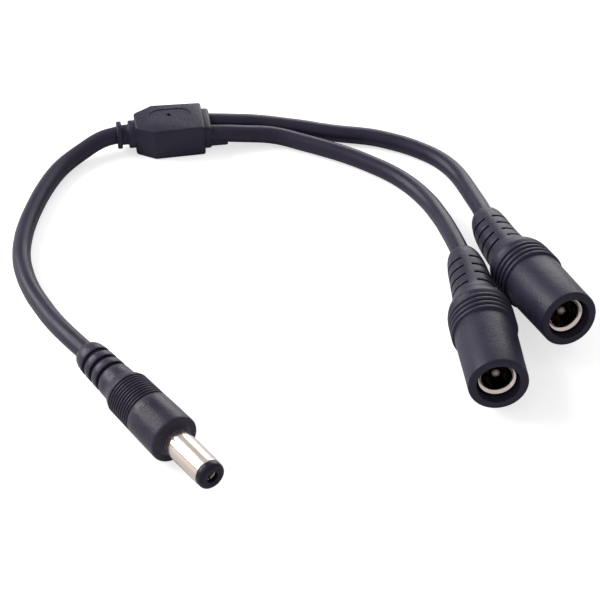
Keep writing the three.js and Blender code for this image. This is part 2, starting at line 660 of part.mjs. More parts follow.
function junctionMoulding() {
  const overlap = 0.5;
  const cableBore = CABLE_BORE_D / 2;
  const input = turned([
    [RING_END, 0],
    [RING_END, INPUT_RING_D / 2],
    [NECK_START, INPUT_RING_D / 2],
    [NECK_START, INPUT_NECK_D / 2],
    [COLLAR_START, INPUT_NECK_D / 2],
    [COLLAR_START, INPUT_COLLAR_D / 2],
    [BODY_START + overlap, INPUT_COLLAR_D / 2],
    [BODY_START + overlap, 0],
  ], MOULD_SIDES).translate(0, 0, AXIS_Z);
  const collar = roundedBar(
    BODY_END - overlap,
    COLLAR_END,
    BODY_OUTPUT_W - 2 * OUTPUT_COLLAR_INSET,
    BODY_HEIGHT - 2 * OUTPUT_COLLAR_INSET,
    1,
    AXIS_Z,
  );
  const cradleHeight = AXIS_Z - CRADLE_INSET;
  const cradle = roundedBar(
    COLLAR_END - overlap,
    CRADLE_END,
    BODY_OUTPUT_W - 2 * CRADLE_INSET,
    cradleHeight,
    0.6,
    CRADLE_INSET + cradleHeight / 2,
  );
  const shell = joined(junctionBody(), input, collar, cradle);
  const pocketHeight = SPLICE_PITCH + SPLICE_D + 2 * SEAT;
  const branchBores = [-1, 1].map((side) => (
    rod(POCKET_END - overlap, CRADLE_END + overlap, cableBore, 16)
      .translate(0, (side * BRANCH_PITCH) / 2, AXIS_Z)
  ));
  const recess = raceTrack(RECESS_LENGTH, RECESS_WIDTH, 1)
    .translate(0, RECESS_ASIDE, BODY_HEIGHT - RECESS_DEPTH);
  const gate = closed(new THREE.CylinderGeometry(GATE_D / 2, GATE_D / 2, 2, 10).rotateX(Math.PI / 2)
    .translate(0, RECESS_ASIDE, BODY_HEIGHT - RECESS_DEPTH - GATE_DEPTH + 1));
  return fromSolid(cut(
    shell,
    box(
      [POCKET_END - POCKET_START, BRANCH_PITCH + CORE_D + 4 * SEAT, pocketHeight],
      [(POCKET_START + POCKET_END) / 2, 0, AXIS_Z],
    ),
    rod(RING_END - overlap, POCKET_START + overlap, cableBore, 16).translate(0, 0, AXIS_Z),
    ...branchBores,
    recess,
    gate,
  ));
}

function makeJunction() {
  const group = new THREE.Group();
  group.add(named('junction_moulding', junctionMoulding(), blackPvc));
  const spliceMiddle = (POCKET_START + POCKET_END) / 2 - 0.6;
  const [spliceStart, spliceEnd] = [spliceMiddle - SPLICE_LENGTH / 2, spliceMiddle + SPLICE_LENGTH / 2];
  const poles = [['positive', 1, redPvc], ['negative', -1, blackPlastic]];
  for (const [pole, side, material] of poles) {
    const level = AXIS_Z + (side * SPLICE_PITCH) / 2;
    const lane = AXIS_Z + (side * CORE_PITCH) / 2;
    const splice = turned([
      [spliceStart, 0],
      [spliceStart, 0.6 * SPLICE_D / 2],
      [spliceStart + 0.8, SPLICE_D / 2],
      [spliceEnd - 0.8, SPLICE_D / 2],
      [spliceEnd, 0.6 * SPLICE_D / 2],
      [spliceEnd, 0],
    ], 10).translate(0, 0, level);
    group.add(named(`junction_splice_${pole}`, splice, solder));
    const trunk = tube([
      [RING_END + SEAT, 0, lane],
      [RING_END + 3, 0, lane],
      [spliceStart - 1.6, 0, level],
      [spliceStart - SEAT, 0, level],
    ], CORE_D, 2.2);
    group.add(named(`trunk_core_${pole}`, trunk, material));
    for (const [branch, way] of [['front', -1], ['rear', 1]]) {
      const y = (way * BRANCH_PITCH) / 2;
      const core = tube([
        [COLLAR_END - SEAT, y, lane],
        [BODY_END - 0.5, y, lane],
        [spliceEnd + SEAT + 0.8, way * (CORE_D / 2 + 0.3), level],
        [spliceEnd + SEAT, way * (CORE_D / 2 + SEAT / 2), level],
      ], CORE_D, 1.6);
      group.add(named(`${branch}_branch_core_${pole}`, core, material));
    }
  }
  return group;
}

// Cords, as plain tubes between the mouldings

function makeCord(name, route) {
  return named(name, tube(route, CABLE_D, 2.4 * CABLE_D), cordPvc);
}

const splitter = new THREE.Group();
splitter.name = 'power_cord_splitter';
splitter.add(
  makeJunction(),
  makePlug(),
  makeSocket('front_socket', FRONT_POSE, FRONT_ROUTE),
  makeSocket('rear_socket', REAR_POSE, REAR_ROUTE),
  makeCord('trunk_cord', TRUNK_ROUTE),
  makeCord('front_branch_cord', FRONT_ROUTE),
  makeCord('rear_branch_cord', REAR_ROUTE),
);

export default splitter;
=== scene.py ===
"""Dresses the power cord splitter: its cords, plug, sockets and junction, and the studio."""

import json
import math

import bmesh
import bpy
from bpy.props import FloatProperty, FloatVectorProperty, IntProperty, PointerProperty
from mathutils import Matrix, Vector

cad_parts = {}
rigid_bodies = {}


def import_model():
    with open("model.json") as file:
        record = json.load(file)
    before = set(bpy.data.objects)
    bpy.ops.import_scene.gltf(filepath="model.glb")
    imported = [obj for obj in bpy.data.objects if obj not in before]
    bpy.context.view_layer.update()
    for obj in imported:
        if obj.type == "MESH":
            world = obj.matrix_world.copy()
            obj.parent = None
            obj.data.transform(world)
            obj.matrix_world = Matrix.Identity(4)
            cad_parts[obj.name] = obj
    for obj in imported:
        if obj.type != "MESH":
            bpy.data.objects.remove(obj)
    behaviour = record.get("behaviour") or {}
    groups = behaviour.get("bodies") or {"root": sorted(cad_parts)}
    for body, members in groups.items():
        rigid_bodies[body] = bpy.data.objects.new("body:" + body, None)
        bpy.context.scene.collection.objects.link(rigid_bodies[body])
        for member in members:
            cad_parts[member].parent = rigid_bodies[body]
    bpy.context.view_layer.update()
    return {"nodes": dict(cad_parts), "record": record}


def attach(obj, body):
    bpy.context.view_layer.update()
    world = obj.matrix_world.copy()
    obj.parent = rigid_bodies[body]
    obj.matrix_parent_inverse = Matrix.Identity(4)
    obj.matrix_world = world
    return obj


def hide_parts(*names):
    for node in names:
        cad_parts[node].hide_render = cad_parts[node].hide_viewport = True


bl_info = {
    "name": "Power Cord Splitter",
    "version": (1, 0, 0),
    "blender": (4, 5, 0),
    "location": "3D View > Sidebar > Splitter",
    "description": "Builds a moulded power cord splitter round its packed frame",
    "category": "Object",
}

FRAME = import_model()

MM = 0.001

# Cord routes in metres, from the junction to the connector's rear end
TRUNK_ROUTE = [
    (-0.01235, 0, 0.0036), (-0.0147, -0.0005, 0.0034), (-0.017, -0.0015, 0.003),
    (-0.0194, -0.0031, 0.0025), (-0.022, -0.0052, 0.0021), (-0.0242, -0.0076, 0.00195),
    (-0.026, -0.0103, 0.00192), (-0.0287, -0.0158, 0.00192), (-0.0308, -0.0213, 0.00192),
    (-0.0325, -0.0267, 0.00192), (-0.0337, -0.0321, 0.00192), (-0.0343, -0.0388, 0.00195),
    (-0.0339, -0.044, 0.0021), (-0.0326, -0.0505, 0.0024), (-0.0309, -0.056, 0.0029),
    (-0.029, -0.0615, 0.0036), (-0.0266, -0.0671, 0.0044), (-0.02331, -0.07319, 0.0048),
]
FRONT_ROUTE = [
    (0.00895, -0.0023, 0.0036), (0.0117, -0.0025, 0.0035), (0.0144, -0.0026, 0.0032),
    (0.017, -0.0025, 0.0028), (0.0197, -0.0025, 0.00245), (0.0223, -0.0029, 0.00215),
    (0.0248, -0.004, 0.002), (0.0272, -0.0055, 0.00192), (0.0321, -0.0088, 0.00192),
    (0.0368, -0.0123, 0.00192), (0.0422, -0.0173, 0.00192), (0.0454, -0.0209, 0.00192),
    (0.0476, -0.0242, 0.00195), (0.0492, -0.0274, 0.00205), (0.0504, -0.0306, 0.0022),
    (0.0513, -0.0339, 0.0025), (0.0519, -0.0376, 0.00295), (0.0524, -0.0418, 0.0036),
    (0.05265, -0.046, 0.0043), (0.05285, -0.0503, 0.005), (0.05298, -0.0549, 0.0056),
]
REAR_ROUTE = [
    (0.00895, 0.0023, 0.0036), (0.0115, 0.002, 0.0035), (0.0145, 0.0019, 0.0032),
    (0.0176, 0.0019, 0.0028), (0.0215, 0.0015, 0.0023), (0.0254, 0.0005, 0.002),
    (0.0293, -0.0009, 0.00192), (0.033, -0.0026, 0.00192), (0.0368, -0.0041, 0.00192),
    (0.0402, -0.0052, 0.00192), (0.0439, -0.0066, 0.00192), (0.0474, -0.0086, 0.00192),
    (0.0504, -0.0107, 0.00192), (0.0531, -0.0131, 0.00192), (0.056, -0.0164, 0.00192),
    (0.0579, -0.0198, 0.00195), (0.059, -0.023, 0.00205), (0.0597, -0.0263, 0.0022),
    (0.0601, -0.0297, 0.00255), (0.0604, -0.0332, 0.00305), (0.06065, -0.0368, 0.0037),
    (0.0608, -0.0416, 0.0046),
]
CORD_TUCK = 1.6 * MM  # cord that runs on inside each moulding

# Where each connector lies: the middle of its front, then roll, pitch and heading in degrees.
# A socket's tail bends by an angle, towards (aside, up) in the socket's own frame.
PLUG_PLACE = {"tip": (-0.0032438, -0.1107675, 0.0048), "turn": (0, 0, -61.9)}
FRONT_PLACE = {
    "tip": (0.0509824, -0.096897, 0.0074384), "turn": (10, -3, -93.5),
    "bend": 5, "towards": (-0.56, 0.6),
}
REAR_PLACE = {
    "tip": (0.0677835, -0.0827344, 0.0093444), "turn": (15, -8, -78.3),
    "bend": 13.5, "towards": (0.92, 0.38),
}
TAIL_START = -26.2
TAIL_LENGTH = 15.6

# Sections of the turned pieces, in millimetres: station along the piece, then radius
PLUG_CABLE_R = 1.9
CABLE_CLEARANCE = 0.02
CAVITY_START = -30.0
PLUG_REAR = -42.3
PLUG_GRIP = [
    (-16.0, 2.76), (-11.55, 2.76), (-11.5, 2.84), (-11.58, 2.98), (-11.78, 3.14), (-11.94, 3.36),
    (-12.0, 3.6), (-12.0, 4.4),
    (-12.06, 4.6), (-12.18, 4.72), (-12.4, 4.79), (-13.0, 4.8), (-16.0, 4.75), (-19.0, 4.69),
    (-20.7, 4.64),
]
PLUG_RIBS = 10
PLUG_RIB_PITCH = 0.68
PLUG_RIB_DEPTH = 0.27
PLUG_RIB_FALL = 0.012  # how much lower each crest is than the one before it
# Share of the pitch, then drop below the crest
PLUG_RIB_PROFILE = (
    (0.12, 0.05), (0.22, PLUG_RIB_DEPTH), (0.56, PLUG_RIB_DEPTH), (0.68, 0.05), (0.76, 0.01),
    (1, PLUG_RIB_FALL),
)
PLUG_TAIL_START = -31.0
PLUG_TAIL_R = 3.55
PLUG_TAIL_TAPER = 0.036
PLUG_SHOULDER = [
    (-27.9, 4.38), (-28.4, 4.2), (-29.0, 3.93), (-29.5, 3.72), (-30.1, 3.58),
    (PLUG_TAIL_START, PLUG_TAIL_R),
]
PLUG_GROOVES = (-33.0, -35.6, -38.2)
PLUG_GROOVE_WIDTH = 0.95
PLUG_GROOVE_R = 2.6
PLUG_TAIL = [(-39.6, 3.18), (-40.6, 3.03), (-41.3, 2.8), (-41.8, 2.5), (-42.15, 2.2), (-42.3, 1.95)]

SOCKET_REAR = -41.8
SOCKET_BODY = [
    (-0.0, 4.15), (-0.0, 5.28), (-0.03, 5.44), (-0.12, 5.58), (-0.26, 5.67), (-0.45, 5.7),
    (-5.0, 5.75), (-10.0, 5.85), (-15.1, 5.94),
]
SOCKET_RIBS = 4
SOCKET_RIB_PITCH = 1.35
SOCKET_RIB_START = -15.2
# Share of the pitch, then share of the rib's height
SOCKET_RIB_PROFILE = (
    (0, 0), (0.1, 0.02), (0.16, 0.4), (0.26, 0.84), (0.4, 1), (0.66, 1), (0.8, 0.86),
    (0.9, 0.45), (0.97, 0.04),
)
SOCKET_RIB_R = (5.93, 6.42)
SOCKET_SHOULDER = [
    (-21.3, 6.33), (-22.2, 6.15), (-23.0, 5.93), (-23.8, 5.58), (-24.5, 5.18), (-25.2, 4.85),
    (-26.0, 4.62), (-26.9, 4.48),
]
SOCKET_SLOTS = (-27.2, -30.1, -33.0, -35.9)
SOCKET_SLOT_WIDTH = 0.62
SOCKET_SLOT_R = 3.1
SOCKET_TAIL = [(-28.0, 4.4), (-32.0, 4.16), (-36.0, 3.9), (-38.0, 3.66)]
SOCKET_TAIL_END = [
    (-39.0, 3.45), (-40.0, 3.18), (-40.8, 2.85), (-41.3, 2.55), (-41.65, 2.2), (-41.8, 1.95),
]
SPINE_HALF_ANGLE = 11.5
SOCKET_TAIL_INNER_R = 3.3  # every outer face of the tail lies farther out than this
SLOT_EDGE = 0.7  # rings of points on either side of a slot
# The socket's hollow, from the cord's hole forward to the mouth
SOCKET_HOLLOW = [
    (CAVITY_START, 3.0), (-22.0, 3.0), (-21.0, 4.6), (-14.0, 4.6), (-14.0, 3.56),
    (-4.0, 3.56), (-4.0, 3.7), (-3.9, 4.05),
]

BARREL_SECTION = [
    (-1.6, 2.42), (-1.6, 2.66), (-1.64, 2.74), (-1.72, 2.78), (-1.84, 2.78), (-1.95, 2.75),
    (-16.2, 2.75), (-16.2, 2.4),
]
TIP_SECTION = [
    (-0.55, 1.1), (-0.16, 1.12), (-0.04, 1.2), (0.0, 1.32), (0.0, 1.95), (-0.03, 2.16),
    (-0.12, 2.36), (-0.28, 2.54), (-0.5, 2.65), (-0.78, 2.7), (-1.4, 2.7), (-1.52, 2.67),
    (-1.57, 2.6), (-1.57, 2.3), (-15.9, 2.3), (-15.9, 1.5), (-0.9, 1.5),
]
CONTACT_SECTION = [
    (-15.9, 1.0), (-4.2, 1.0), (-3.2, 0.9), (-2.3, 0.78), (-1.7, 0.82), (-1.3, 0.98),
    (-1.12, 1.2), (-1.14, 1.34), (-1.3, 1.4), (-17.2, 1.4), (-17.2, 0.8), (-19.2, 0.8),
    (-19.2, 0.001), (-15.9, 0.001),
]

SLEEVE_SECTION = [
    (-2.3, 2.85), (-2.14, 2.87), (-2.04, 2.93), (-1.86, 3.16), (-1.74, 3.38), (-1.7, 3.46),
    (-1.7, 3.5), (-1.74, 3.54), (-14.7, 3.54), (-14.7, 2.85),
]
BASE_SECTION = [
    (-11.4, 1.12), (-11.2, 1.3), (-11.2, 2.6), (-11.3, 2.72), (-14.9, 2.73), (-14.95, 3.3),
    (-15.7, 3.3), (-15.7, 1.12),
]
PIN_SECTION = [
    (-2.95, 0.001), (-2.96, 0.3), (-3.05, 0.56), (-3.22, 0.79), (-3.48, 0.94), (-3.8, 1.0),
    (-15.9, 1.0), (-15.9, 0.8), (-17.9, 0.8), (-17.9, 0.001),
]

SLIT_LENGTH = 7.0
SLIT_HALF_WIDTH = 0.15
SLIT_REACH = 2.0

BODY_OUTLINE = [
    (-8.05, -2.9), (-3.98, -5.5), (6.95, -5.1), (6.95, 5.1), (-3.98, 5.5), (-8.05, 2.9),
]
NECK_SECTION = [
    (-12.0, 1.92), (-12.0, 2.75), (-11.93, 2.92), (-11.8, 3.0), (-11.15, 3.0), (-11.0, 2.94),
    (-10.93, 2.8), (-10.9, 2.3), (-10.8, 2.22), (-9.65, 2.22), (-9.52, 2.3), (-9.48, 2.8),
    (-9.4, 2.96), (-9.25, 3.04), (-7.3, 3.04), (-7.3, 1.92),
]
HALF_HEIGHT = 3.6
BODY_EDGE = 0.5
COLLAR = {"start": 6.2, "end": 8.55, "half_width": 4.3, "low": 0.9, "high": 6.3, "edge": 0.7}
CRADLE = {"start": 8.0, "end": 12.05, "half_width": 3.9, "low": 1.2, "high": 3.6, "edge": 0.45}
LANE_SECTION = [(5.5, 0.001), (5.5, 1.92), (14, 1.92), (14, 0.001)]
LANE_OFFSET = 2.3
RECESS = {"centre": (-0.2, 0.9), "length": 9.0, "width": 5.0}
RECESS_FLOOR = 7.07
GATE = {"centre": (-0.4, 1.25), "length": 0.96, "width": 0.95, "count": 12}
GATE_FLOOR = 5.9

PLUG_INNER = (
    "plug_rear_washer", "plug_sleeve_tag", "plug_core_positive", "plug_core_negative",
    "plug_solder_positive", "plug_solder_negative",
)
SOCKET_INNER = (
    "sleeve_tag", "core_positive", "core_negative", "solder_positive", "solder_negative",
)
JUNCTION_INNER = (
    "junction_splice_positive", "junction_splice_negative",
    "trunk_core_positive", "trunk_core_negative",
    "front_branch_core_positive", "front_branch_core_negative",
    "rear_branch_core_positive", "rear_branch_core_negative",
)

# Finishes: colours are linear, depths in metres
PVC_SPECULAR = 0.22
GRAIN_DEPTH = 1e-4
GRAIN_STRENGTH = 0.6
TIP_BLACK = (0.014, 0.012, 0.024)
CORE_BLACK = (0.014, 0.013, 0.016)
CORE_RED = (0.38, 0.015, 0.01)
# Pin tones are darkened far below plated metal: painted shade of the deep socket bore the pin
# stands in.
PIN_PAINTED_SHADE_TONES = ((0.3, 0.25, 0.23), (0.15, 0.11, 0.1))
# Contact tones are darkened: painted shade of the hole in the tip where the contact sits.
CONTACT_PAINTED_SHADE_TONES = ((0.34, 0.29, 0.28), (0.2, 0.17, 0.16))
SOLDER_TONES = ((0.5, 0.51, 0.52), (0.36, 0.36, 0.37))
DRAWN_LINES = 6500.0

# Studio
CAMERA_SPOT = (-0.0241, -0.3564, 0.2442)
CAMERA_AIM = (0.01992, -0.05811, 0.0)
FLOOR_SIZE = 4.0
FLOOR_GLOW = 0.65  # added to the floor where the camera sees it, so that it reads as white
GLOSSY_SHARE = 0.38  # how white the surroundings look in reflections
LAMP_AIM = (0, -0.07, 0)
KEY_SPOT = (-0.42, 0.18, 0.31)
KEY_SIZE = 0.38
RIM_SPOT = (0.2, 0.37, 0.16)
RIM_AIM = (0.02, -0.07, 0)
RIM_SIZE = 0.3
FLAG_SPOT = (-0.3, 0.036, 0.284)
FLAG_AIM = (0, -0.1, 0)
FLAG_SIZE = 0.15

MATERIALS = {}


# Settings


class SplitterCordSettings(bpy.types.PropertyGroup):
    """Sizes and colour of the round cable"""

    diameter: FloatProperty(
        name="Cable diameter", description="Outside diameter of the round jacket",
        default=0.0038, min=0.002, max=0.008, precision=5, unit="LENGTH",
    )
    colour: FloatVectorProperty(
        name="Jacket colour", description="Colour of the extruded jacket",
        default=(0.026, 0.021, 0.042), size=3, min=0, max=1, subtype="COLOR",
    )


class SplitterMouldSettings(bpy.types.PropertyGroup):
    """Finish of the moulded plug, sockets and junction"""

    colour: FloatVectorProperty(
        name="Moulding colour", description="Colour of the moulded black plastic",
        default=(0.025, 0.021, 0.041), size=3, min=0, max=1, subtype="COLOR",
    )
    steps: IntProperty(
        name="Steps round", description="Faces round each turned moulding",
        default=96, min=24, max=192,
    )
    grain: FloatProperty(
        name="Grain size", description="Size of the fine matte grain",
        default=0.0005, min=0.00005, max=0.002, precision=5, unit="LENGTH",
    )


class SplitterMetalSettings(bpy.types.PropertyGroup):
    """Colours of the plated contacts"""

    nickel: FloatVectorProperty(
        name="Nickel colour", description="Colour of the plated barrel and sleeves",
        default=(0.88, 0.78, 0.73), size=3, min=0, max=1, subtype="COLOR",
    )
    brass: FloatVectorProperty(
        name="Brass colour", description="Colour of the centre contact and tags",
        default=(0.62, 0.44, 0.18), size=3, min=0, max=1, subtype="COLOR",
    )


class SplitterStageSettings(bpy.types.PropertyGroup):
    """Camera, floor and lamps"""

    lens: FloatProperty(
        name="Lens", description="Focal length on a 36 mm sensor",
        default=117.0, min=20, max=300,
    )
    key: FloatProperty(
        name="Key lamp", description="Power of the soft lamp on the left, in watts",
        default=3.3, min=0, max=50,
    )
    rim: FloatProperty(
        name="Rim lamp", description="Power of the soft lamp behind on the right, in watts",
        default=0.8, min=0, max=50,
    )
    sky: FloatProperty(
        name="Surround level", description="Level of the pale surroundings",
        default=0.34, min=0, max=2,
    )


# Mesh helpers


def deselect_all():
    if bpy.context.object and bpy.context.object.mode != "OBJECT":
        bpy.ops.object.mode_set(mode="OBJECT")
    for other in bpy.context.view_layer.objects:
        other.select_set(False)


def only(obj):
    deselect_all()
    obj.select_set(True)
    bpy.context.view_layer.objects.active = obj


def outline(name, points):
    """A closed outline in the XZ plane, drawn point by point from one corner of a plane."""
    deselect_all()
    bpy.ops.mesh.primitive_plane_add(size=MM, location=(0, 0, 0))
    obj = bpy.context.object
    obj.name = obj.data.name = name
    bpy.ops.object.mode_set(mode="EDIT")
    bpy.ops.mesh.select_all(action="SELECT")
    bpy.ops.mesh.merge(type="CENTER")
    corners = [Vector((x * MM, 0, z * MM)) for x, z in points]
    bpy.ops.transform.translate(value=corners[0])
    for here, there in zip(corners, corners[1:]):
        bpy.ops.mesh.extrude_vertices_move(TRANSFORM_OT_translate={"value": there - here})
    mesh = bmesh.from_edit_mesh(obj.data)
    mesh.verts.ensure_lookup_table()
    ends = [v for v in mesh.verts if len(v.link_edges) < 2]
    bpy.ops.mesh.select_all(action="DESELECT")
    for end in ends:
        end.select_set(True)
    mesh.select_flush(True)
    bmesh.update_edit_mesh(obj.data)
    bpy.ops.mesh.edge_face_add()
    bpy.ops.mesh.select_all(action="SELECT")
    return obj


def turned(name, points, steps):
    """Spins a closed outline of (station, radius) points round the X axis."""
    obj = outline(name, points)
    bpy.ops.mesh.spin(
        steps=steps, angle=math.tau, center=(0, 0, 0), axis=(1, 0, 0), use_auto_merge=True,
    )
    bpy.ops.mesh.select_all(action="SELECT")
    bpy.ops.mesh.remove_doubles(threshold=2e-6)
    bpy.ops.mesh.normals_make_consistent(inside=False)
    bpy.ops.object.mode_set(mode="OBJECT")
    return obj


def bar(name, points, height, low, edge, segments=4):
    """A prism on an outline of (x, y) points, from the level low up, with rounded edges."""
    obj = outline(name, points)
    bpy.ops.mesh.edge_face_add()
    bpy.ops.mesh.extrude_region_move(TRANSFORM_OT_translate={"value": (0, height * MM, 0)})
    bpy.ops.mesh.select_all(action="SELECT")
    bpy.ops.mesh.normals_make_consistent(inside=False)
    bpy.ops.object.mode_set(mode="OBJECT")
    stand_up = Matrix(((1, 0, 0, 0), (0, 0, 1, 0), (0, 1, 0, low * MM), (0, 0, 0, 1)))
    obj.data.transform(stand_up)
    recalculated(obj)
    if edge:
        rounded(obj, edge, segments)
    return obj


def recalculated(obj):
    only(obj)
    bpy.ops.object.mode_set(mode="EDIT")
    bpy.ops.mesh.select_all(action="SELECT")
    bpy.ops.mesh.normals_make_consistent(inside=False)
    bpy.ops.object.mode_set(mode="OBJECT")


def rounded(obj, width, segments=2, angle=32):
    """Rounds every edge that is sharper than an angle."""
    only(obj)
    bevel = obj.modifiers.new("edges", "BEVEL")
    bevel.width = width * MM
    bevel.segments = segments
    bevel.limit_method = "ANGLE"
    bevel.angle_limit = math.radians(angle)
    bevel.use_clamp_overlap = True
    bpy.ops.object.modifier_apply(modifier=bevel.name)
    return obj


def combined(obj, other, operation):
    """Joins another solid to this one, or cuts it out, and removes the other."""
    only(obj)
    boolean = obj.modifiers.new("solid", "BOOLEAN")
    boolean.operation = operation
    boolean.solver = "EXACT"
    boolean.object = other
    bpy.ops.object.modifier_apply(modifier=boolean.name)
    mesh = other.data
    bpy.data.objects.remove(other)
    bpy.data.meshes.remove(mesh)
    return obj


def smooth(obj, angle=35):
    only(obj)
    bpy.ops.object.shade_smooth_by_angle(angle=math.radians(angle))
    return obj


def bent_tail(obj, place):
    """Curves a socket's tail so that it follows its cord."""
    angle = math.radians(place["bend"])
    aside, up = Vector(place["towards"]).normalized()
    start, length = TAIL_START * MM, TAIL_LENGTH * MM
    for vertex in obj.data.vertices:
        x, y, z = vertex.co
        back = start - x
        if back <= 0:
            continue
        turn = angle * min(back, length) / length
        beyond = max(back - length, 0)
        along = length * math.sin(turn) / angle + beyond * math.cos(turn)
        drift = length * (1 - math.cos(turn)) / angle + beyond * math.sin(turn)
        side = y * aside + z * up
        shift = drift + side * (math.cos(turn) - 1)
        vertex.co = (start - along + side * math.sin(turn), y + shift * aside, z + shift * up)


def place_matrix(place):
    """Turns a piece from its own axis, nose along +X, to where it lies."""
    roll, pitch, heading = (math.radians(a) for a in place["turn"])
    turn = (
        Matrix.Rotation(heading, 4, "Z")
        @ Matrix.Rotation(pitch, 4, "Y")
        @ Matrix.Rotation(roll, 4, "X")
    )
    return Matrix.Translation(place["tip"]) @ turn


def laid(obj, place):
    obj.data.transform(place_matrix(place))
    obj.data.update()
    return obj


def finished(obj, material, slot_name, *nodes):
    """Gives a piece its finish and puts it in the place of its CAD nodes."""
    obj.data.materials.clear()
    obj.data.materials.append(material)
    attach(obj, "root")
    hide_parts(*nodes)
    return obj


# Materials


def shader_group(name, inputs, outputs):
    """An empty node group with float or vector inputs and float outputs."""
    tree = bpy.data.node_groups.new(name, "ShaderNodeTree")
    for label, kind, default in inputs:
        socket = tree.interface.new_socket(name=label, in_out="INPUT", socket_type=kind)
        if default is not None:
            socket.default_value = default
    for label in outputs:
        tree.interface.new_socket(name=label, in_out="OUTPUT", socket_type="NodeSocketFloat")
    return tree, tree.nodes.new("NodeGroupInput"), tree.nodes.new("NodeGroupOutput")


def wire(tree, start, end):
    tree.links.new(start, end)


def noise(tree, vector, scale, detail=3.0, roughness=0.5):
    node = tree.nodes.new("ShaderNodeTexNoise")
    node.inputs["Detail"].default_value = detail
    node.inputs["Roughness"].default_value = roughness
    wire(tree, vector, node.inputs["Vector"])
    if isinstance(scale, (int, float)):
        node.inputs["Scale"].default_value = scale
    else:
        wire(tree, scale, node.inputs["Scale"])
    return node.outputs["Fac"]


def maths(tree, operation, first, second):
    node = tree.nodes.new("ShaderNodeMath")
    node.operation = operation
    for socket, value in zip(node.inputs, (first, second)):
        if isinstance(value, (int, float)):
            socket.default_value = value
        else:
            wire(tree, value, socket)
    return node.outputs[0]


def ranged(tree, value, low, high, to_low, to_high):
    node = tree.nodes.new("ShaderNodeMapRange")
    for label, number in (
        ("From Min", low), ("From Max", high), ("To Min", to_low), ("To Max", to_high),
    ):
        node.inputs[label].default_value = number
    wire(tree, value, node.inputs["Value"])
    return node.outputs["Result"]


def mixed(tree, factor, dark, light):
    node = tree.nodes.new("ShaderNodeMix")
    node.data_type = "RGBA"
    wire(tree, factor, node.inputs["Factor"])
    node.inputs["A"].default_value = (*dark, 1)
    node.inputs["B"].default_value = (*light, 1)
    return node.outputs["Result"]


def grain_group():
    """Fine sandy grain of a moulded surface, with broad soft patches from the flow."""
    tree, given, out = shader_group(
        "Moulded grain",
        [("Vector", "NodeSocketVector", None), ("Scale", "NodeSocketFloat", 4500.0)],
        ["Height", "Patches", "Specks"],
    )
    fine = noise(tree, given.outputs["Vector"], given.outputs["Scale"], 2.0, 0.6)
    coarse_scale = maths(tree, "MULTIPLY", given.outputs["Scale"], 0.28)
    coarse = noise(tree, given.outputs["Vector"], coarse_scale, 2.0)
    height = maths(tree, "ADD", fine, maths(tree, "MULTIPLY", coarse, 0.6))
    wire(tree, height, out.inputs["Height"])
    patch = noise(tree, given.outputs["Vector"], 160.0, 2.0, 0.55)
    wire(tree, ranged(tree, patch, 0.35, 0.65, 0.0, 1.0), out.inputs["Patches"])
    wire(tree, ranged(tree, fine, 0.62, 0.74, 0.0, 1.0), out.inputs["Specks"])
    return tree


def rub_and_highlight_group():
    """Pale rubbing on the edges that stand out, broken up by noise; turned up high, the same paling
    is a painted highlight on the plug's crests.
    """
    tree, given, out = shader_group(
        "Rubbed edges and painted highlights",
        [("Vector", "NodeSocketVector", None), ("Amount", "NodeSocketFloat", 0.5)],
        ["Mask"],
    )
    geometry = tree.nodes.new("ShaderNodeNewGeometry")
    sharp = ranged(tree, geometry.outputs["Pointiness"], 0.51, 0.58, 0.0, 1.0)
    broken = ranged(tree, noise(tree, given.outputs["Vector"], 900.0, 3.0), 0.35, 0.65, 0.2, 1.0)
    mask = maths(tree, "MULTIPLY", maths(tree, "MULTIPLY", sharp, broken), given.outputs["Amount"])
    wire(tree, mask, out.inputs["Mask"])
    return tree


def drawn_group():
    """Fine lines left by drawing or turning metal, and a soft stain."""
    tree, given, out = shader_group(
        "Drawn metal",
        [("Vector", "NodeSocketVector", None), ("Scale", "NodeSocketFloat", 900.0)],
        ["Height", "Tarnish"],
    )
    wire(
        tree, noise(tree, given.outputs["Vector"], given.outputs["Scale"], 3.0, 0.65),
        out.inputs["Height"],
    )
    stain = noise(tree, given.outputs["Vector"], 210.0, 3.0, 0.6)
    wire(tree, ranged(tree, stain, 0.42, 0.72, 0.0, 1.0), out.inputs["Tarnish"])
    return tree


def new_material(name):
    material = bpy.data.materials.new(name)
    material.use_nodes = True
    tree = material.node_tree
    shader = tree.nodes["Principled BSDF"]
    where = tree.nodes.new("ShaderNodeTexCoord").outputs["Object"]
    return material, tree, shader, where


def placed_group(tree, name, **wires):
    node = tree.nodes.new("ShaderNodeGroup")
    node.node_tree = bpy.data.node_groups[name]
    for label, value in wires.items():
        socket = node.inputs[label]
        if isinstance(value, (int, float)):
            socket.default_value = value
        else:
            wire(tree, value, socket)
    return node


def bumped(tree, shader, height, strength, distance):
    bump = tree.nodes.new("ShaderNodeBump")
    bump.inputs["Strength"].default_value = strength
    bump.inputs["Distance"].default_value = distance
    wire(tree, height, bump.inputs["Height"])
    wire(tree, bump.outputs["Normal"], shader.inputs["Normal"])


